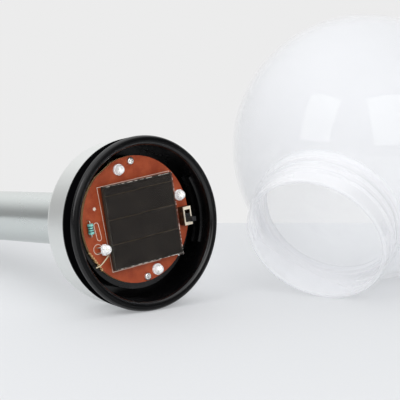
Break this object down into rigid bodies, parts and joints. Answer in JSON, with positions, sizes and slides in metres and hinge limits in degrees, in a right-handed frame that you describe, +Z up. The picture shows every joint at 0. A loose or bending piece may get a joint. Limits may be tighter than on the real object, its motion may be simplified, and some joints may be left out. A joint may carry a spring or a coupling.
{
  "type": "solar garden light",
  "caption": "Solar garden light taken apart: lamp head with solar panel board, stem and ground spike, and a clear screw-on globe lying beside it.",
  "frame": {"origin": "centre of the footprint on the ground", "axes": "+X is the horizontal direction in which the open collar faces, the stem runs towards -X; +Z is up"},
  "size_m": [0.5038, 0.2465, 0.1385],
  "materials": {
    "cup_silver": "satin silver",
    "stem_silver": "satin silver",
    "black_moulding": "semi-gloss",
    "spike_plastic": "matt",
    "board_laminate": "semi-matt lacquer",
    "bright_steel": "nickel-plated",
    "tin_wire": "tinned",
    "foam_black": "foam",
    "panel_back": "laminate",
    "silicon": "satin",
    "clear_resin": "clear gloss",
    "clear_epoxy": "clear gloss",
    "teal_lacquer": "gloss",
    "switch_phenolic": "matt",
    "switch_metal": "tinned",
    "knob_black": "matt",
    "cream_insulation": "satin",
    "chip_black": "matt",
    "cell_can": "nickel-plated",
    "cell_sleeve_green": "gloss",
    "red_insulation": "gloss",
    "black_insulation": "gloss",
    "clear_globe": "clear, slightly milky, glossy",
    "clear_silicone": "soft, translucent"
  },
  "bodies": {
    "head": {"head_cup": "cup_silver", "collar_insert": "black_moulding", "circuit_board": "board_laminate", "board_screws": "bright_steel", "panel_foam_pad": "foam_black", "panel_backing": "panel_back", "solar_cells": "silicon", "panel_resin": "clear_resin", "panel_leads": "tin_wire", "led_1": "clear_epoxy", "led_2": "clear_epoxy", "led_3": "clear_epoxy", "led_4": "clear_epoxy", "led_leads_1": "tin_wire", "led_leads_2": "tin_wire", "led_leads_3": "tin_wire", "led_leads_4": "tin_wire", "inductor_body": "teal_lacquer", "inductor_leads": "tin_wire", "switch_base": "switch_phenolic", "switch_frame": "switch_metal", "switch_pins": "tin_wire", "jumper_wire": "cream_insulation", "driver_chip": "chip_black", "driver_legs": "tin_wire", "battery_can": "cell_can", "battery_sleeve": "cell_sleeve_green", "battery_contact_positive": "bright_steel", "battery_contact_negative": "bright_steel", "battery_spring": "bright_steel", "battery_wire_red": "red_insulation", "battery_wire_black": "black_insulation"},
    "switch_knob": {"switch_knob": "knob_black"},
    "stem": {"stem_tube": "stem_silver"},
    "spike": {"ground_spike": "spike_plastic"},
    "seal": {"neck_seal": "clear_silicone"},
    "globe": {"globe_shell": "clear_globe"}
  },
  "joints": [
    {"name": "switch_slide", "type": "slide", "parent": "head", "child": "switch_knob", "axis": [-0.0913, -0.1097, 0.9898], "range_m": [0, 0.003]},
    {"name": "stem_slide", "type": "slide", "parent": "head", "child": "stem", "axis": [-0.9958, 0, -0.0919], "range_m": [0, 0.029]},
    {"name": "spike_slide", "type": "slide", "parent": "stem", "child": "spike", "axis": [-0.9958, 0, -0.0919], "range_m": [0, 0.039]},
    {"name": "globe_lift", "type": "slide", "parent": "head", "child": "seal", "axis": [-0.4095, 0.7824, 0.4692], "range_m": [0, 0.01]},
    {"name": "globe_turn", "type": "hinge", "parent": "seal", "child": "globe", "pos_m": [0.1827, 0.05402, 0.06923], "axis": [-0.4095, 0.7824, 0.4692], "range_deg": [0, 648]}
  ],
  "couplings": [
    {"joint": "globe_lift", "follows": "globe_turn", "m_per_rad": 0.00087535}
  ]
}
